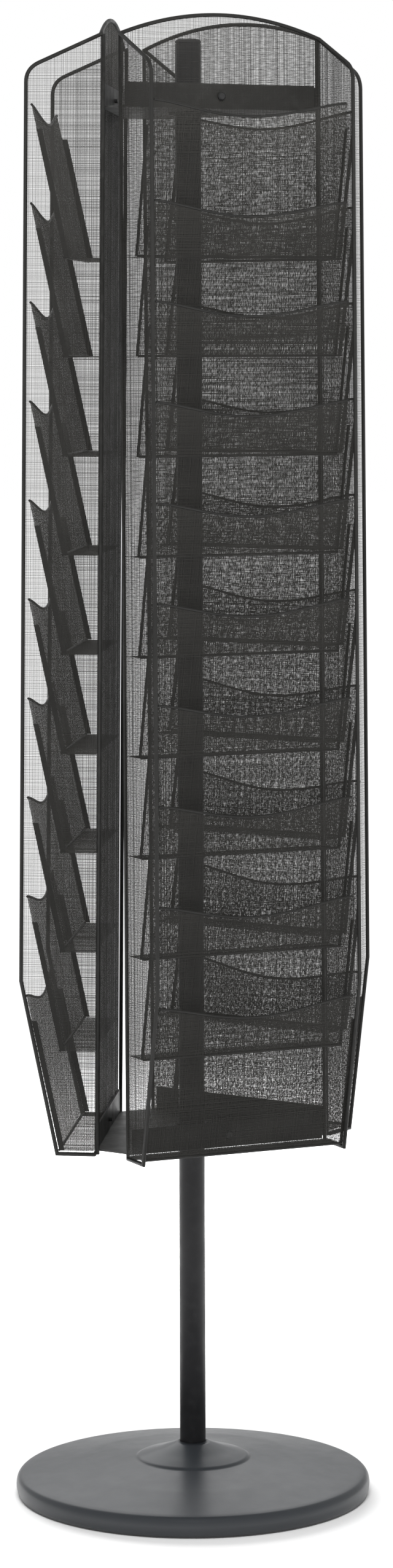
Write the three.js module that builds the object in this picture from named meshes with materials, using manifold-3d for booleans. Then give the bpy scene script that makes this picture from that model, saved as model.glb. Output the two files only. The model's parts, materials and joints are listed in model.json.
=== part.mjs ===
// Rotating three-sided wire-mesh magazine tower on a round weighted base.
// Millimetres, +Z up, origin on the floor under the centre of the post.
// Each rack is drawn once facing -Y, then turned about the post for the other two sides:
// u runs across the rack, d runs outward from its back panel, z runs up.

import * as THREE from 'three';
import { mergeVertices } from 'three/addons/utils/BufferGeometryUtils.js';
import Module from 'manifold-3d';

const wasm = await Module();
wasm.setup();

// ---- driving dimensions ----
const GAP = 0.3; // clearance left between neighbouring pieces

const BASE_RADIUS = 201;
const BASE_RIM_TOP = 24;
const BASE_STEP_RADIUS = 62;
const BASE_STEP_TOP = 42;
const BASE_CENTRE_TOP = 58;
const COVER_WALL = 1.5;
const COVER_BOTTOM = 2; // the cover's edge hangs this far above the floor
const FOOT_HEIGHT = 4;
const FOOT_RADIUS = 12;
const FOOT_CIRCLE = 160;
const WEIGHT_RADIUS = 188;
const WEIGHT_THICKNESS = 13;
const BOSS_RADIUS = 26;
const BOSS_TOP = 34;
const RECESS_RADIUS = 14; // the pocket under the weight that hides the bolt's head
const RECESS_DEPTH = 8;

const POST_RADIUS = 14.6;
const POST_WALL = 2;
const POST_TOP = 1652;
const POST_PLUG = 26;
const CAP_SEAT = POST_TOP - 4; // top of the tube itself, under the cap
const CAP_PLUG = 20; // length of the cap's plug inside the tube
const CAP_CROWN = 4.4;
const BOLT_RADIUS = 5;
const BOLT_HEAD_RADIUS = 8.6;
const BOLT_HEAD = 5;
const BOLT_ENGAGED = 20; // length of the bolt inside the post
const RUNNING_GAP = 0.1; // between the post and the bushes that turn on it
const BUSH_WALL = 3;
const BUSH_LIP = 4; // how far a bush's flange stands out beyond its wall
const BUSH_FLANGE = 2.5; // thickness of that flange
const BUSH_LENGTH = 12; // above the bracket's underside
const WASHER_THICKNESS = 2;
const COLLAR_RADIUS = 22;
const COLLAR_HEIGHT = 9;

const SHEET = 1.2;
const BACK_RADIUS = 86; // post axis to the inner face of a back panel, at its fold top
const LEAN = THREE.MathUtils.degToRad(0.51); // the racks' feet stand further out than their tops
const HALF_WIDTH = 124;
const WING_DEPTH = 84; // back panel to the wire on the front edge of a wing
const TRAY_BOTTOM = 404.5;
const FOLD_TOP = 1650;
const ARCH_RISE = 24;
const WING_SLOPE = 24; // degrees that a wing's top edge falls towards the front
const WING_CORNER = 15; // length of the rounding each side of that corner
const WING_STRAIGHT_FROM = 596; // below this height the front edge slopes inward
const WING_FOOT_DEPTH = 42.5;
const RIM_RADIUS = 2.25;

const POCKETS_PER_RACK = 10;
const TOP_POCKET_FLOOR = 1401;
const POCKET_PITCH = 110.4;
const FLOOR_DEPTH = 40.3;
const FRONT_TOP_DEPTH = 78.4;
const FRONT_HEIGHT = 172; // floor to the top of a pocket's front, at the sides
const SCOOP_DEPTH = 17;
const SHOULDER = 26; // height of the cut-away ends, which clear the wings' edge wires
const HEM = 1.4; // half thickness of the hem along the top edge

const BRACKET_SHEET = 2;
const BRACKET_FLANGE = 28;
const BRACKET_HALF = 117; // half the length of one of its three flanges, which end inside the fold wires
const LOWER_BRACKET_Z = 408;
const UPPER_BRACKET_Z = 1569;
const SCREW_RADIUS = 2.4;
const SCREW_HEAD = 4.6;

const BUSH_OUTER = POST_RADIUS + RUNNING_GAP + BUSH_WALL;
const WASHER_TOP = LOWER_BRACKET_Z - GAP - BUSH_FLANGE - GAP;
const COLLAR_TOP = WASHER_TOP - WASHER_THICKNESS - GAP;
const RACKS = ['a', 'b', 'c'];

// ---- materials ----
const paint = (color, roughness) => new THREE.MeshStandardMaterial({ color, roughness, metalness: 0.3 });
const MATERIAL = {
  cover: paint(0x6a6d70, 0.45),
  iron: paint(0x3b3b3c, 0.8),
  rubber: new THREE.MeshStandardMaterial({ color: 0x1c1c1c, roughness: 0.9 }),
  steel: new THREE.MeshStandardMaterial({ color: 0x8b8d90, roughness: 0.35, metalness: 0.9 }),
  post: paint(0x2a2a2b, 0.5),
  nylon: new THREE.MeshStandardMaterial({ color: 0x202020, roughness: 0.6 }),
  bracket: paint(0x262626, 0.55),
  mesh: paint(0x4a4948, 0.6),
  rim: paint(0x2e2d2c, 0.55),
  screw: paint(0x1e1e1e, 0.4),
};

// ---- solid helpers ----
function toManifold(geometry) {
  const bare = geometry.clone();
  bare.deleteAttribute('normal');
  bare.deleteAttribute('uv');
  const welded = mergeVertices(bare, 1e-4);
  return new wasm.Manifold(new wasm.Mesh({
    numProp: 3,
    vertProperties: new Float32Array(welded.attributes.position.array),
    triVerts: new Uint32Array(welded.index.array),
  }));
}

function fromManifold(solid) {
  const mesh = solid.getMesh();
  const geometry = new THREE.BufferGeometry();
  geometry.setAttribute('position', new THREE.BufferAttribute(mesh.vertProperties, 3));
  geometry.setIndex(new THREE.BufferAttribute(mesh.triVerts, 1));
  const flat = geometry.toNonIndexed();
  flat.computeVertexNormals();
  return flat;
}

function join(...geometries) {
  return fromManifold(geometries.map(toManifold).reduce((all, next) => all.add(next)));
}

function cut(body, ...tools) {
  return fromManifold(tools.map(toManifold).reduce((left, tool) => left.subtract(tool), toManifold(body)));
}

function lathe(profile, segments) {
  const points = profile.map(([r, z]) => new THREE.Vector2(r, z));
  return new THREE.LatheGeometry(points, segments).rotateX(Math.PI / 2);
}

// Turns an outline of [r, z] pairs, listed anticlockwise, into a solid of revolution.
function turned(profile, segments) {
  const closed = profile.concat([profile[0]]);
  return fromManifold(orient(lathe(closed, segments)));
}

// A solid that came out inside out is flipped.
function orient(geometry) {
  const bare = geometry.clone();
  bare.deleteAttribute('normal');
  bare.deleteAttribute('uv');
  const welded = mergeVertices(bare, 1e-4);
  const corners = welded.attributes.position;
  const index = welded.index.array;
  const [a, b, c] = [new THREE.Vector3(), new THREE.Vector3(), new THREE.Vector3()];
  let volume = 0;
  for (let i = 0; i < index.length; i += 3) {
    a.fromBufferAttribute(corners, index[i]);
    b.fromBufferAttribute(corners, index[i + 1]);
    c.fromBufferAttribute(corners, index[i + 2]);
    volume += a.dot(b.cross(c));
  }
  if (volume < 0) index.reverse();
  return toManifold(welded);
}

function disc(radius, bottom, top, segments) {
  return new THREE.CylinderGeometry(radius, radius, top - bottom, segments)
    .rotateX(Math.PI / 2)
    .translate(0, 0, (bottom + top) / 2);
}

function ring(inner, outer, bottom, top, segments) {
  return turned([[inner, bottom], [outer, bottom], [outer, top], [inner, top]], segments);
}

function box(x0, x1, y0, y1, z0, z1) {
  return new THREE.BoxGeometry(x1 - x0, y1 - y0, z1 - z0)
    .translate((x0 + x1) / 2, (y0 + y1) / 2, (z0 + z1) / 2);
}

function extrude(outline, depth) {
  const shape = new THREE.Shape(outline.map(([x, y]) => new THREE.Vector2(x, y)));
  return new THREE.ExtrudeGeometry(shape, { depth, bevelEnabled: false });
}

// ---- rack helpers: everything here faces -Y and stands upright until it is leaned ----
const place = (u, d, z) => new THREE.Vector3(u, -(BACK_RADIUS + d), z);
const leanedOut = (z) => (FOLD_TOP - z) * Math.tan(LEAN);

function lean(geometry) {
  return geometry.translate(0, BACK_RADIUS, -FOLD_TOP).rotateX(-LEAN).translate(0, -BACK_RADIUS, FOLD_TOP);
}

// An outline in u and z, given thickness from d0 to d1.
function facing(outline, d0, d1) {
  return extrude(outline, d1 - d0).rotateX(Math.PI / 2).translate(0, -(BACK_RADIUS + d0), 0);
}

// An outline in d and z, given thickness across the rack from u0 to u1.
function sideways(outline, u0, u1) {
  const turn = new THREE.Matrix4().makeBasis(
    new THREE.Vector3(0, -1, 0), new THREE.Vector3(0, 0, 1), new THREE.Vector3(-1, 0, 0));
  return extrude(outline, u1 - u0).applyMatrix4(turn).translate(u1, -BACK_RADIUS, 0);
}

// Moves every edge of a convex anticlockwise outline inward by the same distance.
function inset(outline, distance) {
  return outline.map(([x, y], i) => {
    const [px, py] = outline.at(i - 1);
    const [nx, ny] = outline[(i + 1) % outline.length];
    const before = new THREE.Vector2(py - y, x - px).normalize();
    const after = new THREE.Vector2(y - ny, nx - x).normalize();
    const shift = distance / (1 + before.dot(after));
    return [x + (before.x + after.x) * shift, y + (before.y + after.y) * shift];
  });
}

// A round wire through a list of points, with mitred corners.
function wire(points, radius, sides) {
  const ringAt = (i) => {
    const here = points[i];
    const ahead = points[Math.min(i + 1, points.length - 1)].clone().sub(points[Math.min(i, points.length - 2)]);
    const behind = points[Math.max(i, 1)].clone().sub(points[Math.max(i - 1, 0)]);
    return { here, along: behind.normalize(), mitre: behind.clone().add(ahead.normalize()).normalize() };
  };
  const first = ringAt(0).along;
  const across = new THREE.Vector3(0.3, 0.5, 0.81).cross(first).normalize();
  const up = first.clone().cross(across);
  const corners = [];
  for (let k = 0; k < sides; k++) {
    const turn = (2 * Math.PI * (k + 0.5)) / sides;
    const offset = across.clone().multiplyScalar(radius * Math.cos(turn));
    corners.push(points[0].clone().add(offset.addScaledVector(up, radius * Math.sin(turn))));
  }
  const rings = [corners];
  for (let i = 1; i < points.length; i++) {
    const { here, along, mitre } = ringAt(i);
    rings.push(rings[i - 1].map((corner) => {
      const reach = here.clone().sub(corner).dot(mitre) / along.dot(mitre);
      return corner.clone().addScaledVector(along, reach);
    }));
  }
  const index = [];
  for (let i = 0; i + 1 < rings.length; i++) {
    for (let k = 0; k < sides; k++) {
      const next = (k + 1) % sides;
      const [p, q, r, s] = [i * sides + k, i * sides + next, (i + 1) * sides + next, (i + 1) * sides + k];
      index.push(p, q, r, p, r, s);
    }
  }
  const last = (rings.length - 1) * sides;
  for (let k = 1; k + 1 < sides; k++) {
    index.push(0, k + 1, k, last, last + k, last + k + 1);
  }
  const geometry = new THREE.BufferGeometry().setFromPoints(rings.flat());
  geometry.setIndex(index);
  return fromManifold(orient(geometry));
}

// ---- outlines ----
function archHeight(u) {
  return FOLD_TOP + ARCH_RISE * (1 - (u / HALF_WIDTH) ** 2);
}

function archPoints(halfWidth, steps) {
  return Array.from({ length: steps + 1 }, (_, i) => {
    const u = halfWidth * (1 - (2 * i) / steps);
    return [u, archHeight(u)];
  });
}

// The wing's front edge from its foot up to the fold, as [d, z] pairs.
function wingFront() {
  const slope = Math.tan(THREE.MathUtils.degToRad(WING_SLOPE));
  const cornerZ = FOLD_TOP - WING_DEPTH * slope;
  const lower = new THREE.Vector2(WING_DEPTH, cornerZ - WING_CORNER);
  const corner = new THREE.Vector2(WING_DEPTH, cornerZ);
  const upper = new THREE.Vector2(WING_DEPTH - WING_CORNER, cornerZ + WING_CORNER * slope);
  const rounding = new THREE.QuadraticBezierCurve(lower, corner, upper).getPoints(4);
  return [
    [WING_FOOT_DEPTH, TRAY_BOTTOM],
    [WING_DEPTH, WING_STRAIGHT_FROM],
    ...rounding.map((p) => [p.x, p.y]),
  ];
}

const EDGE = RIM_RADIUS + GAP; // rim centre line to the sheet's edge

function wingOutline() {
  const slope = Math.tan(THREE.MathUtils.degToRad(WING_SLOPE));
  return inset([[-EDGE, TRAY_BOTTOM], ...wingFront(), [-EDGE, FOLD_TOP + EDGE * slope]], EDGE);
}

function backOutline() {
  const half = HALF_WIDTH + EDGE;
  return inset([[-half, TRAY_BOTTOM], [half, TRAY_BOTTOM], ...archPoints(half, 10)], EDGE);
}

// Height of a pocket front above its floor: full at the sides, lowest in the middle.
function scoopHeight(u) {
  return FRONT_HEIGHT - SCOOP_DEPTH * Math.cos((Math.PI / 2) * (u / HALF_WIDTH)) ** 1.5;
}

const frontDepth = (height) => FLOOR_DEPTH + ((FRONT_TOP_DEPTH - FLOOR_DEPTH) * height) / FRONT_HEIGHT;

// ---- rack pieces ----
function trayGeometry() {
  const back = facing(backOutline(), 0, SHEET);
  const left = sideways(wingOutline(), -HALF_WIDTH, -HALF_WIDTH + SHEET);
  const right = sideways(wingOutline(), HALF_WIDTH - SHEET, HALF_WIDTH);
  const holes = [LOWER_BRACKET_Z, UPPER_BRACKET_Z].map((z) => screwHole(z + BRACKET_FLANGE / 2));
  return cut(join(back, left, right), ...holes);
}

function rimGeometry() {
  const half = HALF_WIDTH - SHEET / 2;
  const middle = SHEET / 2;
  const side = (u) => [[middle, TRAY_BOTTOM], ...wingFront()].map(([d, z]) => place(u, d, z));
  const arch = archPoints(half, 10).map(([u, z]) => place(u, middle, z));
  const outline = wire([...side(half), ...arch, ...side(-half).reverse()], RIM_RADIUS, 6);
  const foot = wire([place(-half, middle, TRAY_BOTTOM), place(half, middle, TRAY_BOTTOM)], RIM_RADIUS, 6);
  const folds = [-1, 1].map((way) => {
    const u = way * (HALF_WIDTH - RIM_RADIUS);
    return wire([place(u, -EDGE, TRAY_BOTTOM - 1), place(u, -EDGE, FOLD_TOP + 1)], RIM_RADIUS, 6);
  });
  return join(outline, foot, ...folds);
}

// A bent sheet: a flat floor and a leaning front with a scooped, hemmed top edge.
function pocketGeometry() {
  const half = HALF_WIDTH - SHEET - GAP;
  const top = FRONT_HEIGHT;
  const profile = [
    [SHEET + GAP, 0], [FLOOR_DEPTH, 0], [FRONT_TOP_DEPTH, top],
    [FRONT_TOP_DEPTH - SHEET, top], [FLOOR_DEPTH - SHEET, SHEET], [SHEET + GAP, SHEET],
  ];
  const steps = 8;
  const inner = HALF_WIDTH - 2 * RIM_RADIUS;
  const edge = Array.from({ length: steps + 1 }, (_, i) => {
    const u = inner * (1 - (2 * i) / steps);
    return [u, scoopHeight(u)];
  });
  const above = [
    [-inner, top + 9], [-half - 1, top + 9], [-half - 1, top - SHOULDER], [-inner, top - SHOULDER],
    ...edge.reverse(), [inner, top - SHOULDER], [half + 1, top - SHOULDER], [half + 1, top + 9],
  ];
  const sheet = cut(sideways(profile, -half, half), facing(above.reverse(), 50, 95));
  const hemPath = edge.map(([u, z]) => place(u * 0.985, frontDepth(z) - SHEET / 2, z));
  return join(sheet, wire(hemPath, HEM, 4));
}

function screwHole(z) {
  return disc(SCREW_RADIUS + GAP, -8, 8, 10).rotateX(Math.PI / 2).translate(0, -BACK_RADIUS, z);
}

// A pan-head screw through the back panel into the bracket's flange.
function screwGeometry(z) {
  const shank = [[0, -6], [SCREW_RADIUS, -6], [SCREW_RADIUS, SHEET + GAP]];
  const head = [
    [SCREW_HEAD, SHEET + GAP], [SCREW_HEAD, SHEET + 1.9], [SCREW_HEAD - 1.2, SHEET + 3.1], [0, SHEET + 3.3],
  ];
  return fromManifold(orient(lathe([...shank, ...head], 10)))
    .rotateX(Math.PI / 2)
    .translate(0, -BACK_RADIUS, z);
}

// ---- brackets: triangular pans with an upturned flange on each long side ----
function bracketGeometry(z) {
  const top = z + BRACKET_FLANGE;
  const reach = BACK_RADIUS + leanedOut(top) - GAP;
  const half = BRACKET_HALF;
  const sides = [0, 1, 2].map((k) => (2 * Math.PI * k) / 3);
  const outline = sides.flatMap((turn) => [-half, half].map((x) => [
    x * Math.cos(turn) + reach * Math.sin(turn),
    x * Math.sin(turn) - reach * Math.cos(turn),
  ]));
  const plate = extrude(outline, BRACKET_SHEET).translate(0, 0, z);
  const flange = box(-half, half, -reach, -reach + BRACKET_SHEET, z, top);
  const bore = disc(BUSH_OUTER + GAP, z - 5, z + 5, 32);
  const hole = lean(screwHole(z + BRACKET_FLANGE / 2));
  const onEverySide = (piece) => sides.map((turn) => piece.clone().rotateZ(turn));
  return cut(join(plate, ...onEverySide(flange)), bore, ...onEverySide(hole));
}

// A flanged bush pressed up through a bracket's plate.
function bushGeometry(z) {
  const inner = POST_RADIUS + RUNNING_GAP;
  const lip = BUSH_OUTER + BUSH_LIP;
  const seat = z - GAP;
  return turned([
    [inner, seat - BUSH_FLANGE], [lip, seat - BUSH_FLANGE], [lip, seat],
    [BUSH_OUTER, seat], [BUSH_OUTER, z + BUSH_LENGTH], [inner, z + BUSH_LENGTH],
  ], 32);
}

// ---- stand pieces ----
function coverProfile() {
  const inner = POST_RADIUS + GAP;
  const outside = [
    [BASE_RADIUS - 2, COVER_BOTTOM], [BASE_RADIUS - 0.6, 7], [BASE_RADIUS, 13], [BASE_RADIUS - 1.2, 19],
    [BASE_RADIUS - 4.5, 22.6], [BASE_RADIUS - 10, BASE_RIM_TOP],
    [130, 33], [BASE_STEP_RADIUS + 3, BASE_STEP_TOP - 2.5], [BASE_STEP_RADIUS, BASE_STEP_TOP],
    [40, BASE_CENTRE_TOP - 9.5], [24, BASE_CENTRE_TOP - 3.5], [inner, BASE_CENTRE_TOP],
  ];
  const inside = [
    [inner, BASE_CENTRE_TOP - COVER_WALL], [24, BASE_CENTRE_TOP - 3.5 - COVER_WALL],
    [40, BASE_CENTRE_TOP - 9.5 - COVER_WALL],
    [BASE_STEP_RADIUS - 1, BASE_STEP_TOP - 1.8], [BASE_STEP_RADIUS + 2, BASE_STEP_TOP - 4.2],
    [130, 33 - COVER_WALL], [BASE_RADIUS - 10, BASE_RIM_TOP - COVER_WALL],
    [BASE_RADIUS - 5.4, 21.2], [BASE_RADIUS - 2.6, 18.2], [BASE_RADIUS - 1.5, 13],
    [BASE_RADIUS - 2.1, 7.4], [BASE_RADIUS - 3.4, COVER_BOTTOM],
  ];
  return outside.concat(inside);
}

function weightGeometry() {
  const bottom = FOOT_HEIGHT + GAP;
  const top = bottom + WEIGHT_THICKNESS;
  const bore = BOLT_RADIUS + GAP;
  return turned([
    [RECESS_RADIUS, bottom], [WEIGHT_RADIUS, bottom], [WEIGHT_RADIUS, top - 4], [WEIGHT_RADIUS - 4, top],
    [BOSS_RADIUS + 6, top], [BOSS_RADIUS, top + 6], [BOSS_RADIUS, BOSS_TOP],
    [bore, BOSS_TOP], [bore, bottom + RECESS_DEPTH], [RECESS_RADIUS, bottom + RECESS_DEPTH],
  ], 32);
}

function postGeometry() {
  const bottom = BOSS_TOP + GAP;
  const plugTop = bottom + POST_PLUG;
  const inner = POST_RADIUS - POST_WALL;
  const thread = BOLT_RADIUS + GAP;
  return turned([
    [thread, bottom], [POST_RADIUS, bottom], [POST_RADIUS, CAP_SEAT], [inner, CAP_SEAT],
    [inner, plugTop], [thread, plugTop],
  ], 32);
}

function capGeometry() {
  const inner = POST_RADIUS - POST_WALL - GAP;
  const seat = CAP_SEAT + GAP;
  return fromManifold(orient(lathe([
    [0, CAP_SEAT - CAP_PLUG], [inner, CAP_SEAT - CAP_PLUG], [inner, seat], [POST_RADIUS, seat],
    [POST_RADIUS, seat + CAP_CROWN - 2], [POST_RADIUS - 1.6, seat + CAP_CROWN - 0.4], [0, seat + CAP_CROWN],
  ], 32)));
}

function boltGeometry() {
  const under = FOOT_HEIGHT + GAP + RECESS_DEPTH - GAP; // the head's upper face
  const face = under - BOLT_HEAD;
  const end = BOSS_TOP + BOLT_ENGAGED;
  return fromManifold(orient(lathe([
    [0, face], [BOLT_HEAD_RADIUS - 0.6, face], [BOLT_HEAD_RADIUS, face + 1], [BOLT_HEAD_RADIUS, under],
    [BOLT_RADIUS, under], [BOLT_RADIUS, end], [0, end],
  ], 16)));
}

function collarGeometry() {
  const collar = ring(POST_RADIUS + GAP, COLLAR_RADIUS, COLLAR_TOP - COLLAR_HEIGHT, COLLAR_TOP, 32);
  const hole = disc(SCREW_RADIUS + GAP, 10, COLLAR_RADIUS + 4, 10)
    .rotateY(Math.PI / 2)
    .translate(0, 0, COLLAR_TOP - COLLAR_HEIGHT / 2);
  return cut(collar, hole);
}

function collarScrewGeometry() {
  return disc(SCREW_RADIUS, POST_RADIUS + GAP / 2, COLLAR_RADIUS - 0.4, 10)
    .rotateY(Math.PI / 2)
    .translate(0, 0, COLLAR_TOP - COLLAR_HEIGHT / 2);
}

function thrustWasherGeometry() {
  return ring(POST_RADIUS + GAP, COLLAR_RADIUS - 1, WASHER_TOP - WASHER_THICKNESS, WASHER_TOP, 32);
}

// ---- assembly ----
const part = new THREE.Group();
part.name = 'magazine_tower';

function add(name, geometry, material) {
  const mesh = new THREE.Mesh(geometry, material);
  mesh.name = name;
  part.add(mesh);
}

function addStand() {
  add('base_cover', turned(coverProfile(), 48), MATERIAL.cover);
  add('base_weight', weightGeometry(), MATERIAL.iron);
  for (let i = 0; i < 4; i++) {
    const turn = (Math.PI * (2 * i + 1)) / 4;
    const foot = disc(FOOT_RADIUS, 0, FOOT_HEIGHT, 16)
      .translate(FOOT_CIRCLE * Math.cos(turn), FOOT_CIRCLE * Math.sin(turn), 0);
    add(`foot_${i + 1}`, foot, MATERIAL.rubber);
  }
  add('base_bolt', boltGeometry(), MATERIAL.steel);
  add('post', postGeometry(), MATERIAL.post);
  add('post_cap', capGeometry(), MATERIAL.nylon);
  add('support_collar', collarGeometry(), MATERIAL.post);
  add('collar_screw', collarScrewGeometry(), MATERIAL.steel);
  add('thrust_washer', thrustWasherGeometry(), MATERIAL.nylon);
}

function addCarousel() {
  add('lower_bracket', bracketGeometry(LOWER_BRACKET_Z), MATERIAL.bracket);
  add('upper_bracket', bracketGeometry(UPPER_BRACKET_Z), MATERIAL.bracket);
  add('lower_bush', bushGeometry(LOWER_BRACKET_Z), MATERIAL.nylon);
  add('upper_bush', bushGeometry(UPPER_BRACKET_Z), MATERIAL.nylon);
  const [tray, rim, pocket] = [trayGeometry(), rimGeometry(), pocketGeometry()];
  RACKS.forEach((rack, k) => {
    const turn = (2 * Math.PI * k) / 3;
    const addToRack = (name, geometry, material) => add(name, lean(geometry).rotateZ(turn), material);
    addToRack(`tray_${rack}`, tray.clone(), MATERIAL.mesh);
    addToRack(`rim_${rack}`, rim.clone(), MATERIAL.rim);
    for (let i = 0; i < POCKETS_PER_RACK; i++) {
      const shelf = pocket.clone().translate(0, 0, TOP_POCKET_FLOOR - i * POCKET_PITCH);
      addToRack(`pocket_${rack}${i + 1}`, shelf, MATERIAL.mesh);
    }
    for (const [level, z] of [['lower', LOWER_BRACKET_Z], ['upper', UPPER_BRACKET_Z]]) {
      addToRack(`${level}_screw_${rack}`, screwGeometry(z + BRACKET_FLANGE / 2), MATERIAL.screw);
    }
  });
}

addStand();
addCarousel();

export default part;
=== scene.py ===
"""Looks for the rotating magazine tower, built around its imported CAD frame.

Lengths are metres. Each rack is drawn once facing -Y and upright, then leaned and turned about the post.
"""

import json
import math
import random

import bmesh
import bpy
from mathutils import Matrix, Vector


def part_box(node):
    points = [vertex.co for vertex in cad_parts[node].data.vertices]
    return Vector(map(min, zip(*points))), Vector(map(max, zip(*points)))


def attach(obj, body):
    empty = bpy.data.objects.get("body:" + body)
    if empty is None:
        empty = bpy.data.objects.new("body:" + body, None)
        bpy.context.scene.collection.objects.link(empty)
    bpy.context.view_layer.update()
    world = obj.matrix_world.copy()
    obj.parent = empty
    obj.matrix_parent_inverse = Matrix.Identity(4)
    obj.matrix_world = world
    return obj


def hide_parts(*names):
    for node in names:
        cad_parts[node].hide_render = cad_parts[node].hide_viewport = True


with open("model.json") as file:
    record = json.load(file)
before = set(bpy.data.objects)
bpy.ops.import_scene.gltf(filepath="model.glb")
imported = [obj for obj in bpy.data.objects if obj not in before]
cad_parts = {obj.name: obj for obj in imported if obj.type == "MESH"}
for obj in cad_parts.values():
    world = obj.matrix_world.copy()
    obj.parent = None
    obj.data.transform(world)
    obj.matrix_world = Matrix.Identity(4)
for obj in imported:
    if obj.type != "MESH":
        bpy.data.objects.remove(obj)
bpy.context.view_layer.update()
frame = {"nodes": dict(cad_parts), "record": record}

# ---- sizes: from the CAD boxes where a box gives them ----
TRAY_LOW, TRAY_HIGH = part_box("tray_a")
TOP_POCKET_LOW, TOP_POCKET_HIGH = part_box("pocket_a1")
LAST_POCKET_LOW, LAST_POCKET_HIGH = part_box("pocket_a10")
RIM_LOW, RIM_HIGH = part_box("rim_a")
POST_LOW, POST_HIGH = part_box("post")
COVER_LOW, COVER_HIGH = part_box("base_cover")
STEP_TOP = COVER_HIGH[2] - 0.016  # edge of the cover's raised centre
STEP_RADIUS = 0.062
COVER_RIM_TOP = 0.024
COVER_WALL = 0.0015

POCKETS = 10
POCKET_DROP = TOP_POCKET_LOW[2] - LAST_POCKET_LOW[2]
POCKET_PITCH = POCKET_DROP / (POCKETS - 1)
POCKET_FLOOR = TOP_POCKET_LOW[2]
POCKET_HALF = TOP_POCKET_HIGH[0]
LEAN_SLOPE = (TOP_POCKET_HIGH[1] - LAST_POCKET_HIGH[1]) / POCKET_DROP  # the racks' feet stand further out

SHEET = 0.0012
HALF_WIDTH = TRAY_HIGH[0]
RIM_RADIUS = (RIM_HIGH[0] - RIM_LOW[0]) / 2 - (HALF_WIDTH - SHEET / 2)
SHEET_EDGE = RIM_RADIUS + 0.0003  # rim centre line to the edge of the mesh
TRAY_BOTTOM = TRAY_LOW[2] - SHEET_EDGE
ARCH_TOP = TRAY_HIGH[2] + SHEET_EDGE
ARCH_RISE = 0.024
FOLD_TOP = ARCH_TOP - ARCH_RISE
BACK_Y = TRAY_HIGH[1] - LEAN_SLOPE * (TRAY_HIGH[2] - FOLD_TOP)  # rack a's inner face, which faces -Y
WING_SLOPE = math.radians(24)
WING_CORNER = 0.015
WING_STRAIGHT_FROM = 0.596
WING_FOOT_DEPTH = 0.0425
WING_DEPTH = BACK_Y - TRAY_LOW[1] + SHEET_EDGE - LEAN_SLOPE * (FOLD_TOP - WING_STRAIGHT_FROM)

FLOOR_DEPTH = 0.0403
FRONT_TOP_DEPTH = 0.0784
FRONT_HEIGHT = 0.172
SCOOP_DEPTH = 0.017
SHOULDER = 0.026  # the front's ends stop this far below its top, clear of the wings' edge wires
FRONT_TOP_HALF = HALF_WIDTH - 2 * RIM_RADIUS  # above that cut the front fits between the edge wires
HEM_RADIUS = 0.0014
HEM_SHARE = 0.985  # how much of the front's top edge the hem covers
BEND_RADIUS = 0.0015
TAB_WIDTH = 0.006
TAB_SHEET = 0.0008

MESH_PITCH = 0.0012  # spacing of the wires in every mesh sheet
MESH_WIRE = 0.245 * MESH_PITCH  # width of one of those wires
MESH_WIRE_DEPTH = 0.1 * MESH_PITCH  # thin, so that light still passes through at a grazing angle
MESH_WANDER = 0.3 * MESH_PITCH  # how far a wire strays from its even place

RACKS = ["a", "b", "c"]
FOLD_POINT = Vector((0, BACK_Y, FOLD_TOP))
TILT = Matrix.Rotation(-math.atan(LEAN_SLOPE), 4, "X")
LEAN = Matrix.Translation(FOLD_POINT) @ TILT @ Matrix.Translation(-FOLD_POINT)
RACK_PLACE = {rack: Matrix.Rotation(math.tau * k / 3, 4, "Z") @ LEAN for k, rack in enumerate(RACKS)}


# ---- materials ----
def new_material(name):
    material = bpy.data.materials.new(name)
    material.use_nodes = True
    tree = material.node_tree
    shader = tree.nodes["Principled BSDF"]
    return material, tree, shader


def noise(tree, scale, detail=3.0, roughness=0.5):
    coordinates = tree.nodes.new("ShaderNodeTexCoord")
    node = tree.nodes.new("ShaderNodeTexNoise")
    node.inputs["Scale"].default_value = scale
    node.inputs["Detail"].default_value = detail
    node.inputs["Roughness"].default_value = roughness
    tree.links.new(coordinates.outputs["Object"], node.inputs["Vector"])
    return node.outputs["Fac"]


def ramp(tree, source, low, high, start=0.35, end=0.65):
    node = tree.nodes.new("ShaderNodeMapRange")
    node.inputs["From Min"].default_value = start
    node.inputs["From Max"].default_value = end
    node.inputs["To Min"].default_value = low
    node.inputs["To Max"].default_value = high
    tree.links.new(source, node.inputs["Value"])
    return node.outputs["Result"]


def mix_colours(tree, factor, first, second):
    node = tree.nodes.new("ShaderNodeMix")
    node.data_type = "RGBA"
    node.inputs["A"].default_value = (*first, 1)
    node.inputs["B"].default_value = (*second, 1)
    tree.links.new(factor, node.inputs["Factor"])
    return node.outputs["Result"]


def mottled(tree, scale, detail, first, second):
    """A colour that drifts between two others in soft patches."""
    return mix_colours(tree, ramp(tree, noise(tree, scale, detail), 0.0, 1.0), first, second)


def bump(tree, shader, height, distance, strength=1.0):
    node = tree.nodes.new("ShaderNodeBump")
    node.inputs["Strength"].default_value = strength
    node.inputs["Distance"].default_value = distance
    tree.links.new(height, node.inputs["Height"])
    tree.links.new(node.outputs["Normal"], shader.inputs["Normal"])


def worn_edges(tree, amount):
    """1 where the surface is sharply convex and a patchy noise agrees, else 0."""
    geometry = tree.nodes.new("ShaderNodeNewGeometry")
    edges = ramp(tree, geometry.outputs["Pointiness"], 0.0, 1.0, 0.53, 0.6)
    patches = ramp(tree, noise(tree, 90.0, 4.0), 0.0, amount, 0.5, 0.7)
    both = tree.nodes.new("ShaderNodeMath")
    both.operation = "MULTIPLY"
    tree.links.new(edges, both.inputs[0])
    tree.links.new(patches, both.inputs[1])
    return both.outputs["Value"]


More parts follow.
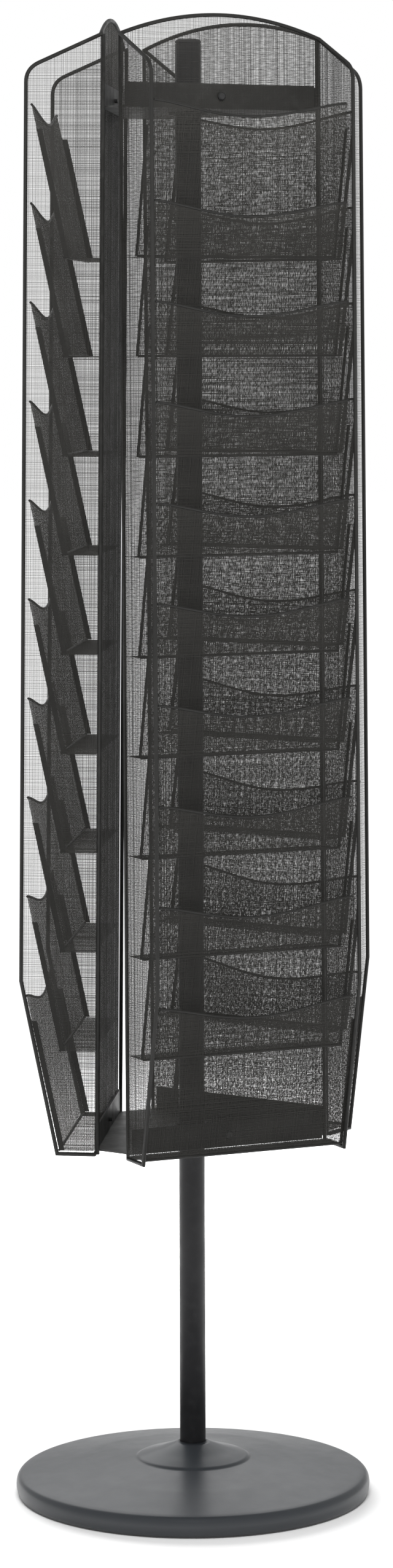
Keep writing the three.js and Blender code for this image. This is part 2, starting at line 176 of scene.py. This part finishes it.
def powder_coat(name, colour, rough, grain=0.00006, wear=0.5, light=1.35, uneven=0.07, shine=0.5):
    """Baked powder paint: orange-peel bump, uneven gloss, faint dust, paint rubbed thin on edges."""
    material, tree, shader = new_material(name)
    lighter = tuple(min(1.0, c * light) for c in colour)
    rubbed = tuple(min(1.0, c * 2.2 + 0.02) for c in colour)
    paint = mottled(tree, 14.0, 5.0, colour, lighter)
    mix = tree.nodes.new("ShaderNodeMix")
    mix.data_type = "RGBA"
    mix.inputs["B"].default_value = (*rubbed, 1)
    tree.links.new(paint, mix.inputs["A"])
    tree.links.new(worn_edges(tree, wear), mix.inputs["Factor"])
    tree.links.new(mix.outputs["Result"], shader.inputs["Base Color"])
    gloss = ramp(tree, noise(tree, 45.0, 4.0, 0.6), rough - uneven, rough + uneven)
    tree.links.new(gloss, shader.inputs["Roughness"])
    shader.inputs["Specular IOR Level"].default_value = shine
    bump(tree, shader, noise(tree, 900.0, 2.0), grain)
    return material


def cast_iron(name):
    material, tree, shader = new_material(name)
    skin = mottled(tree, 60.0, 6.0, (0.03, 0.03, 0.031), (0.07, 0.066, 0.06))
    tree.links.new(skin, shader.inputs["Base Color"])
    shader.inputs["Roughness"].default_value = 0.8
    bump(tree, shader, noise(tree, 400.0, 6.0, 0.7), 0.0004)
    return material


def rubber(name):
    material, tree, shader = new_material(name)
    skin = mottled(tree, 120.0, 4.0, (0.012, 0.012, 0.012), (0.028, 0.027, 0.026))
    tree.links.new(skin, shader.inputs["Base Color"])
    shader.inputs["Roughness"].default_value = 0.88
    bump(tree, shader, noise(tree, 700.0, 3.0), 0.00008)
    return material


def zinc_plate(name):
    material, tree, shader = new_material(name)
    skin = mottled(tree, 160.0, 4.0, (0.42, 0.42, 0.43), (0.56, 0.56, 0.55))
    tree.links.new(skin, shader.inputs["Base Color"])
    shader.inputs["Metallic"].default_value = 1.0
    tree.links.new(ramp(tree, noise(tree, 260.0), 0.28, 0.45), shader.inputs["Roughness"])
    bump(tree, shader, noise(tree, 500.0), 0.00003)
    return material


def moulded_nylon(name):
    material, tree, shader = new_material(name)
    skin = mottled(tree, 30.0, 3.0, (0.014, 0.014, 0.015), (0.024, 0.024, 0.025))
    tree.links.new(skin, shader.inputs["Base Color"])
    tree.links.new(ramp(tree, noise(tree, 80.0), 0.42, 0.56), shader.inputs["Roughness"])
    bump(tree, shader, noise(tree, 1200.0, 2.0), 0.00002)
    return material


MATERIALS = {
    "cover": powder_coat("cover_paint", (0.026, 0.029, 0.033), 0.35, wear=0.0, light=1.1, uneven=0.02),
    "post": powder_coat("post_paint", (0.014, 0.014, 0.015), 0.45, wear=0.3, shine=0.25),
    "bracket": powder_coat("bracket_paint", (0.018, 0.018, 0.017), 0.5, wear=0.5),
    "mesh": powder_coat("mesh_paint", (0.023, 0.0222, 0.0202), 0.5, grain=0.00002, wear=0.0, shine=0.22),
    "rim": powder_coat("rim_paint", (0.012, 0.0118, 0.011), 0.5, wear=0.3, shine=0.3),
    "iron": cast_iron("iron_skin"),
    "rubber": rubber("foot_rubber"),
    "steel": zinc_plate("zinc_plate"),
    "screw": powder_coat("blackened_steel", (0.012, 0.012, 0.012), 0.4, wear=0.2),
    "nylon": moulded_nylon("moulded_nylon"),
}


# ---- mesh helpers ----
class Builder:
    """Collects closed solids and turns them into one mesh."""

    def __init__(self):
        self.points = []
        self.faces = []

    def prism(self, start, end, side, up, half_side, half_up):
        """A straight bar of rectangular section from start to end."""
        base = len(self.points)
        for centre in (start, end):
            for a, b in ((-1, -1), (1, -1), (1, 1), (-1, 1)):
                self.points.append(centre + side * (a * half_side) + up * (b * half_up))
        for k in range(4):
            n = (k + 1) % 4
            self.faces.append((base + k, base + n, base + 4 + n, base + 4 + k))
        self.faces.append((base + 3, base + 2, base + 1, base))
        self.faces.append((base + 4, base + 5, base + 6, base + 7))

    def tube(self, path, radius, sides=10):
        """A round wire along a path of points, with mitred corners and flat ends."""
        path = [Vector(p) for p in path]
        steps = [(b - a).normalized() for a, b in zip(path, path[1:])]
        across = steps[0].orthogonal().normalized()
        up = steps[0].cross(across)
        turns = [math.tau * k / sides for k in range(sides)]
        ring = [path[0] + (across * math.cos(t) + up * math.sin(t)) * radius for t in turns]
        rings = [ring]
        for i in range(1, len(path)):
            along = steps[i - 1]
            mitre = (along + steps[min(i, len(steps) - 1)]).normalized()
            ring = [p + along * ((path[i] - p).dot(mitre) / along.dot(mitre)) for p in ring]
            rings.append(ring)
        base = len(self.points)
        self.points += [p for ring in rings for p in ring]
        for i in range(len(rings) - 1):
            for k in range(sides):
                n = (k + 1) % sides
                a, b = base + i * sides, base + (i + 1) * sides
                self.faces.append((a + k, a + n, b + n, b + k))
        last = base + (len(rings) - 1) * sides
        self.faces.append(tuple(base + k for k in reversed(range(sides))))
        self.faces.append(tuple(last + k for k in range(sides)))

    def strip(self, left, right, thickness):
        """A flat strip between two rows of points, given thickness along its normal."""
        count = len(left)
        base = len(self.points)
        for i in range(count):
            j = min(i, count - 2)
            normal = (right[i] - left[i]).cross(left[j + 1] - left[j]).normalized() * (thickness / 2)
            self.points += [left[i] - normal, right[i] - normal, right[i] + normal, left[i] + normal]
        for i in range(count - 1):
            a, b = base + 4 * i, base + 4 * (i + 1)
            for k in range(4):
                n = (k + 1) % 4
                self.faces.append((a + k, a + n, b + n, b + k))
        last = base + 4 * (count - 1)
        self.faces.append((base + 3, base + 2, base + 1, base))
        self.faces.append((last, last + 1, last + 2, last + 3))

    def mesh(self, name, smooth=False):
        data = bpy.data.meshes.new(name)
        data.from_pydata([tuple(p) for p in self.points], [], self.faces)
        tidy = bmesh.new()
        tidy.from_mesh(data)
        bmesh.ops.recalc_face_normals(tidy, faces=tidy.faces)
        tidy.to_mesh(data)
        tidy.free()
        data.polygons.foreach_set("use_smooth", [smooth] * len(data.polygons))
        return data


def crossings(outline, axis, level):
    """Where the line at this level of one coordinate crosses a closed outline, in pairs."""
    other = 1 - axis
    hits = []
    for p, q in zip(outline, outline[1:] + outline[:1]):
        if (p[axis] > level) != (q[axis] > level):
            share = (level - p[axis]) / (q[axis] - p[axis])
            hits.append(p[other] + share * (q[other] - p[other]))
    hits.sort()
    return list(zip(hits[::2], hits[1::2]))


def woven(builder, outline, origin, right, up):
    """Fills a flat outline with crossing wires. The outline's two coordinates run along right and up."""
    normal = right.cross(up)
    lift = MESH_WIRE_DEPTH * 0.45
    chance = random.Random(len(builder.faces) + 1)
    for axis, along, across, side in ((0, up, right, -1), (1, right, up, 1)):
        values = [p[axis] for p in outline]
        count = int((max(values) - min(values)) / MESH_PITCH)
        margin = (max(values) - min(values) - count * MESH_PITCH) / 2
        for i in range(count + 1):
            level = min(values) + margin + i * MESH_PITCH + chance.uniform(-MESH_WANDER, MESH_WANDER)
            if not min(values) < level < max(values):
                continue
            for low, high in crossings(outline, axis, level):
                base = origin + across * level + normal * (lift * side)
                builder.prism(base + along * low, base + along * high, across, normal,
                              MESH_WIRE / 2, MESH_WIRE_DEPTH / 2)


def piece(name, data, slot, body, replaced, place=None):
    """A visible object that rides on a CAD body in place of the CAD nodes it replaces."""
    obj = bpy.data.objects.new(name, data)
    bpy.context.scene.collection.objects.link(obj)
    if not data.materials:
        data.materials.append(MATERIALS[slot])
    if place is not None:
        obj.matrix_world = place
    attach(obj, body)
    if replaced:
        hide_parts(*replaced)
    return obj


# ---- rack outlines, facing -Y and upright: u across, d outward, z up ----
def at(u, d, z):
    return Vector((u, BACK_Y - d, z))


def arch(half, steps):
    """The arched top edge, from +half to -half."""
    points = []
    for i in range(steps + 1):
        u = half * (1 - 2 * i / steps)
        points.append((u, FOLD_TOP + ARCH_RISE * (1 - (u / HALF_WIDTH) ** 2)))
    return points


def wing_front(steps=10):
    """The wing's edge from its foot round the front and up to the sloping top, as (d, z)."""
    slope = math.tan(WING_SLOPE)
    corner = Vector((WING_DEPTH, FOLD_TOP - WING_DEPTH * slope))
    lower = corner - Vector((0, WING_CORNER))
    upper = corner + Vector((-WING_CORNER, WING_CORNER * slope))
    points = [(WING_FOOT_DEPTH, TRAY_BOTTOM), (WING_DEPTH, WING_STRAIGHT_FROM)]
    for i in range(steps + 1):
        t = i / steps
        p = lower * (1 - t) ** 2 + corner * (2 * t * (1 - t)) + upper * t**2
        points.append((p.x, p.y))
    return points


def scoop(u):
    """Height of a pocket's front edge above its floor."""
    return FRONT_HEIGHT - SCOOP_DEPTH * math.cos(math.pi / 2 * u / HALF_WIDTH) ** 1.5


def front_depth(height):
    return FLOOR_DEPTH + (FRONT_TOP_DEPTH - FLOOR_DEPTH) * height / FRONT_HEIGHT - MESH_WIRE_DEPTH


# ---- racks ----
def tray_mesh():
    builder = Builder()
    half = HALF_WIDTH - SHEET / 2
    back = [(-half, TRAY_BOTTOM), (half, TRAY_BOTTOM), *arch(half, 32)]
    woven(builder, back, at(0, SHEET / 2, 0), Vector((1, 0, 0)), Vector((0, 0, 1)))
    wing = [(SHEET / 2, TRAY_BOTTOM), *wing_front(), (SHEET / 2, FOLD_TOP)]
    for way in (-1, 1):
        woven(builder, wing, at(way * half, 0, 0), Vector((0, -1, 0)), Vector((0, 0, 1)))
    return builder.mesh("tray_mesh")


def rim_mesh():
    builder = Builder()
    half = HALF_WIDTH - SHEET / 2
    edge = [(SHEET / 2, TRAY_BOTTOM), *wing_front()]
    right = [at(half, d, z) for d, z in edge]
    left = [at(-half, d, z) for d, z in reversed(edge)]
    top = [at(u, SHEET / 2, z) for u, z in arch(half, 32)]
    builder.tube([*right, *top, *left], RIM_RADIUS, 12)
    builder.tube([at(-half, SHEET / 2, TRAY_BOTTOM), at(half, SHEET / 2, TRAY_BOTTOM)], RIM_RADIUS, 12)
    for way in (-1, 1):
        u = way * (HALF_WIDTH - RIM_RADIUS)
        fold = [at(u, -SHEET_EDGE, TRAY_BOTTOM), at(u, -SHEET_EDGE, FOLD_TOP + 0.001)]
        builder.tube(fold, RIM_RADIUS, 12)
    return builder.mesh("rim_mesh", smooth=True)


def add_pocket_sheets(builder):
    half = POCKET_HALF
    floor = [(-half, 0.0015), (half, 0.0015), (half, FLOOR_DEPTH), (-half, FLOOR_DEPTH)]
    woven(builder, floor, at(0, 0, SHEET / 2), Vector((1, 0, 0)), Vector((0, -1, 0)))
    lean = Vector((0, front_depth(0) - front_depth(FRONT_HEIGHT), FRONT_HEIGHT))
    stretch = lean.length / FRONT_HEIGHT
    inner = FRONT_TOP_HALF
    top = [(inner * (1 - i / 16), scoop(inner * (1 - i / 16)) * stretch) for i in range(33)]
    shoulder = (FRONT_HEIGHT - SHOULDER) * stretch
    front = [
        (-half, 0), (half, 0), (half, shoulder), (inner, shoulder),
        *top, (-inner, shoulder), (-half, shoulder),
    ]
    woven(builder, front, at(0, front_depth(0), 0), Vector((1, 0, 0)), lean.normalized())


def add_pocket_edges(builder):
    """The wires folded into a pocket's edges and the tabs that hold its sides to the wings."""
    inner = FRONT_TOP_HALF * HEM_SHARE
    edge = []
    for i in range(33):
        u = inner * (1 - i / 16)
        height = scoop(u)
        edge.append(at(u, front_depth(height), height))
    builder.tube(edge, HEM_RADIUS, 8)
    bend = POCKET_HALF - 0.001
    builder.tube([at(-bend, front_depth(0), SHEET), at(bend, front_depth(0), SHEET)], BEND_RADIUS, 8)
    for way in (-1, 1):
        u = way * (POCKET_HALF - 0.0006)
        heights = (0.001, FRONT_HEIGHT - SHOULDER - 0.002)
        outer = [at(u, front_depth(h), h) for h in heights]
        inner_row = [at(u, front_depth(h) - TAB_WIDTH, h) for h in heights]
        builder.strip(outer, inner_row, TAB_SHEET)


def pocket_mesh():
    builder = Builder()
    add_pocket_sheets(builder)
    sheet_faces = len(builder.faces)
    add_pocket_edges(builder)
    data = builder.mesh("pocket_mesh")
    data.materials.append(MATERIALS["mesh"])
    data.materials.append(MATERIALS["rim"])
    for edge_face in data.polygons[sheet_faces:]:
        edge_face.material_index = 1
    return data


def add_racks():
    tray, rim = tray_mesh(), rim_mesh()
    pocket = pocket_mesh()
    for rack in RACKS:
        place = RACK_PLACE[rack]
        piece(f"mesh_tray_{rack}", tray, "mesh", "carousel", [f"tray_{rack}"], place)
        piece(f"wire_rim_{rack}", rim, "rim", "carousel", [f"rim_{rack}"], place)
        for i in range(POCKETS):
            height = Matrix.Translation((0, 0, POCKET_FLOOR - i * POCKET_PITCH))
            name = f"pocket_{rack}{i + 1}"
            piece(f"mesh_{name}", pocket, "mesh", "carousel", [name], place @ height)


# ---- stand ----
def turned_mesh(name, profile, sides):
    """A solid of revolution about +Z. The profile's (r, z) pairs close on themselves or end on the axis."""
    builder = Builder()
    rows = []
    for r, z in profile:
        base = len(builder.points)
        if r < 1e-6:
            builder.points.append(Vector((0, 0, z)))
            rows.append([base] * sides)
            continue
        for k in range(sides):
            turn = math.tau * k / sides
            builder.points.append(Vector((r * math.cos(turn), r * math.sin(turn), z)))
        rows.append(list(range(base, base + sides)))
    on_axis = profile[0][0] < 1e-6
    pairs = list(zip(rows, rows[1:]))
    if not on_axis:
        pairs.append((rows[-1], rows[0]))
    for first, second in pairs:
        for k in range(sides):
            n = (k + 1) % sides
            corners = [first[k], first[n], second[n], second[k]]
            face = tuple(dict.fromkeys(corners))
            if len(face) > 2:
                builder.faces.append(face)
    return builder.mesh(name, smooth=True)


def rounded(points, radius, steps=4):
    """Replaces each inner corner of an open profile with a small curve."""
    out = [points[0]]
    for before, here, after in zip(points, points[1:], points[2:]):
        p, q, r = Vector(before), Vector(here), Vector(after)
        reach = min(radius, (p - q).length / 2.2, (r - q).length / 2.2)
        start = q + (p - q).normalized() * reach
        end = q + (r - q).normalized() * reach
        for i in range(steps + 1):
            t = i / steps
            s = start * (1 - t) ** 2 + q * (2 * t * (1 - t)) + end * t**2
            out.append((s.x, s.y))
    out.append(points[-1])
    return out


def cover_mesh():
    radius = COVER_HIGH[0]
    top = COVER_HIGH[2]
    hole = POST_HIGH[0] + 0.0003
    outer = [
        (radius - 0.002, COVER_LOW[2]), (radius - 0.0006, 0.007), (radius, 0.013), (radius - 0.0012, 0.019),
        (radius - 0.0045, 0.0226), (radius - 0.010, COVER_RIM_TOP), (0.130, 0.033),
        (STEP_RADIUS + 0.003, STEP_TOP - 0.0025), (STEP_RADIUS, STEP_TOP),
        (0.040, top - 0.0095), (0.024, top - 0.0035), (hole, top),
    ]
    inner = [
        (hole, top - COVER_WALL), (0.024, top - 0.005), (0.040, top - 0.011),
        (STEP_RADIUS - 0.001, STEP_TOP - 0.0018), (STEP_RADIUS + 0.002, STEP_TOP - 0.0042),
        (0.130, 0.033 - COVER_WALL), (radius - 0.010, COVER_RIM_TOP - COVER_WALL),
        (radius - 0.0054, 0.0212), (radius - 0.0026, 0.0182), (radius - 0.0015, 0.013),
        (radius - 0.0021, 0.0074), (radius - 0.0034, COVER_LOW[2]),
    ]
    return turned_mesh("cover_mesh", rounded(outer, 0.006) + rounded(inner, 0.004), 160)


def post_mesh():
    radius = POST_HIGH[0]
    profile = [
        (0, POST_LOW[2]), (radius - 0.0004, POST_LOW[2]), (radius, POST_LOW[2] + 0.0004),
        (radius, POST_HIGH[2] - 0.0004), (radius - 0.0004, POST_HIGH[2]), (0, POST_HIGH[2]),
    ]
    return turned_mesh("post_mesh", profile, 64)


def add_stand():
    piece("spun_cover", cover_mesh(), "cover", "stand", ["base_cover"])
    piece("post_tube", post_mesh(), "post", "stand", ["post"])


BROKEN_EDGE = 0.0003


def finish_cad_nodes():
    """The CAD pieces that stay get their own materials and slightly broken edges."""
    slots = {part["node"]: part["material_slot"] for part in frame["record"]["subparts"]}
    for name, node in frame["nodes"].items():
        node.data.materials.clear()
        node.data.materials.append(MATERIALS[slots[name]])
        if node.hide_render:
            continue
        bevel = node.modifiers.new("broken_edges", "BEVEL")
        bevel.width = BROKEN_EDGE
        bevel.segments = 2
        bevel.limit_method = "ANGLE"
        bevel.angle_limit = math.radians(40)


# ---- camera, floor and light ----
CAMERA_AZIMUTH = math.radians(-24.9)
CAMERA_DISTANCE = 4.895
CAMERA_HEIGHT = 1.300
CAMERA_ROLL = math.radians(-0.197)
SENSOR_HEIGHT = 36
LENS_PER_SENSOR = 2.7419  # focal length over the sensor's height
CAMERA_SHIFT_X = 0.0047
CAMERA_SHIFT_Y = -0.2774


def add_camera():
    data = bpy.data.cameras.new("camera")
    data.sensor_fit = "VERTICAL"
    data.sensor_height = SENSOR_HEIGHT
    data.lens = SENSOR_HEIGHT * LENS_PER_SENSOR
    data.shift_x = CAMERA_SHIFT_X
    data.shift_y = CAMERA_SHIFT_Y
    data.clip_end = 100
    camera = bpy.data.objects.new("camera", data)
    camera.location = (
        math.sin(CAMERA_AZIMUTH) * CAMERA_DISTANCE,
        -math.cos(CAMERA_AZIMUTH) * CAMERA_DISTANCE,
        CAMERA_HEIGHT,
    )
    upright = Matrix.Rotation(CAMERA_AZIMUTH, 4, "Z") @ Matrix.Rotation(math.pi / 2, 4, "X")
    camera.rotation_euler = (upright @ Matrix.Rotation(CAMERA_ROLL, 4, "Z")).to_euler()
    bpy.context.scene.collection.objects.link(camera)
    bpy.context.scene.camera = camera


FLOOR_HALF = 30.0
FLOOR_GLOW_NEAR = 0.03  # the floor shines a little, and more far away, so that no horizon shows
FLOOR_GLOW_FAR = 0.72
ROOM_SEEN = 1.0  # what the camera sees behind the object
ROOM_HORIZON = 0.6
ROOM_ZENITH = 0.35


def distance_from_axis(tree):
    coordinates = tree.nodes.new("ShaderNodeTexCoord")
    length = tree.nodes.new("ShaderNodeVectorMath")
    length.operation = "LENGTH"
    tree.links.new(coordinates.outputs["Object"], length.inputs[0])
    return length.outputs["Value"]


def add_floor():
    builder = Builder()
    for x, y in ((-1, -1), (1, -1), (1, 1), (-1, 1)):
        builder.points.append(Vector((x * FLOOR_HALF, y * FLOOR_HALF, 0)))
    builder.faces = [(0, 1, 2, 3)]
    data = builder.mesh("floor")
    material, tree, shader = new_material("floor_white")
    tint = mottled(tree, 2.0, 3.0, (0.83, 0.83, 0.83), (0.84, 0.84, 0.84))
    tree.links.new(tint, shader.inputs["Base Color"])
    shader.inputs["Roughness"].default_value = 0.9
    shader.inputs["Specular IOR Level"].default_value = 0.0
    shader.inputs["Emission Color"].default_value = (1, 1, 1, 1)
    glow = ramp(tree, distance_from_axis(tree), FLOOR_GLOW_NEAR, FLOOR_GLOW_FAR, 0.2, 2.5)
    tree.links.new(glow, shader.inputs["Emission Strength"])
    data.materials.append(material)
    floor = bpy.data.objects.new("floor", data)
    bpy.context.scene.collection.objects.link(floor)


def add_room():
    """A white room: the camera sees plain white, and the ceiling gives less light than the walls."""
    world = bpy.data.worlds.new("white_room")
    world.use_nodes = True
    tree = world.node_tree
    coordinates = tree.nodes.new("ShaderNodeTexCoord")
    split = tree.nodes.new("ShaderNodeSeparateXYZ")
    tree.links.new(coordinates.outputs["Generated"], split.inputs["Vector"])
    light = ramp(tree, split.outputs["Z"], ROOM_HORIZON, ROOM_ZENITH, 0.2, 0.9)
    rays = tree.nodes.new("ShaderNodeLightPath")
    seen = tree.nodes.new("ShaderNodeMix")
    seen.inputs["B"].default_value = ROOM_SEEN
    tree.links.new(rays.outputs["Is Camera Ray"], seen.inputs["Factor"])
    tree.links.new(light, seen.inputs["A"])
    tree.links.new(seen.outputs["Result"], tree.nodes["Background"].inputs["Strength"])
    tree.nodes["Background"].inputs["Color"].default_value = (1, 1, 1, 1)
    bpy.context.scene.world = world


def add_softbox(name, location, target, size, power, shines=True):
    data = bpy.data.lights.new(name, "AREA")
    data.shape = "RECTANGLE"
    data.size, data.size_y = size
    data.energy = power
    lamp = bpy.data.objects.new(name, data)
    lamp.location = location
    lamp.rotation_euler = (Vector(location) - Vector(target)).to_track_quat("Z", "Y").to_euler()
    lamp.visible_camera = False
    lamp.visible_glossy = shines
    bpy.context.scene.collection.objects.link(lamp)


def add_lights():
    add_softbox("ceiling_softbox", (0.3, -0.6, 3.6), (0, 0, 0.6), (3.0, 3.0), 10, shines=False)
    add_softbox("front_softbox", (-0.7, -1.8, 2.3), (0, 0, 1.7), (1.2, 1.0), 60, shines=False)
    add_softbox("back_softbox", (0.3, 2.2, 1.3), (0, 0, 0), (2.4, 1.2), 80, shines=False)
    add_softbox("sheen_softbox", (0.6, 2.2, 1.7), (0, 0, 0), (2.4, 1.6), 13)
    settings = bpy.context.scene.view_settings
    settings.view_transform = "Standard"
    settings.look = "None"


add_racks()
add_stand()
finish_cad_nodes()
add_camera()
add_floor()
add_room()
add_lights()
